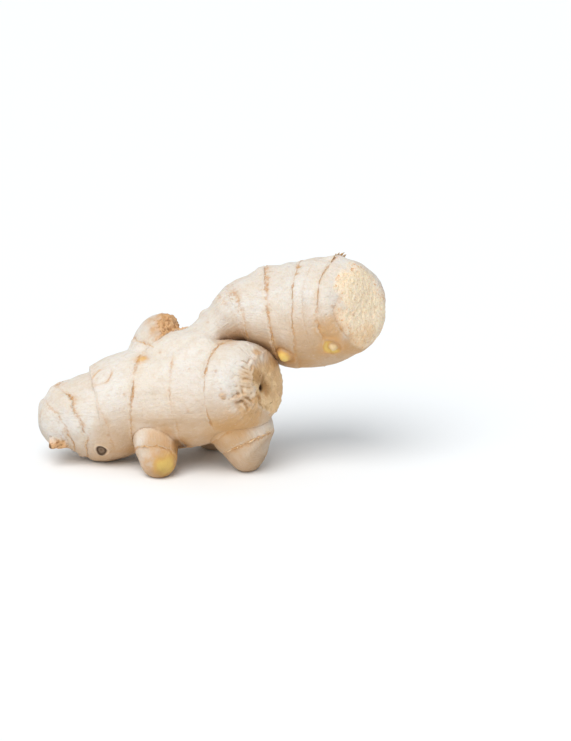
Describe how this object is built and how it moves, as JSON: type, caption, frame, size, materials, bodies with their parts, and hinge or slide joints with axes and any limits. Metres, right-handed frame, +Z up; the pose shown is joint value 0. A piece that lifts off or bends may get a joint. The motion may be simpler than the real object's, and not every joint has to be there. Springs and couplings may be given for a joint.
{
  "type": "ginger root",
  "caption": "Fresh whole ginger rhizome with a long body, a raised upper finger, short knobs, buds and leaf-scale scars, lying on its underside.",
  "frame": {"origin": "bottom centre of the bounding box, on the surface that the root rests on", "axes": "+X along the long body, from its small tip to the blunt end of the upper finger; +Y away from the side with the small pointed finger; +Z up"},
  "size_m": [0.1462, 0.0612, 0.0894],
  "materials": {
    "ginger_skin": "dry papery skin, pale buff with fine lengthwise wrinkles and orange-brown leaf-scale scars"
  },
  "bodies": {
    "root": {"rhizome": "ginger_skin"}
  },
  "joints": []
}
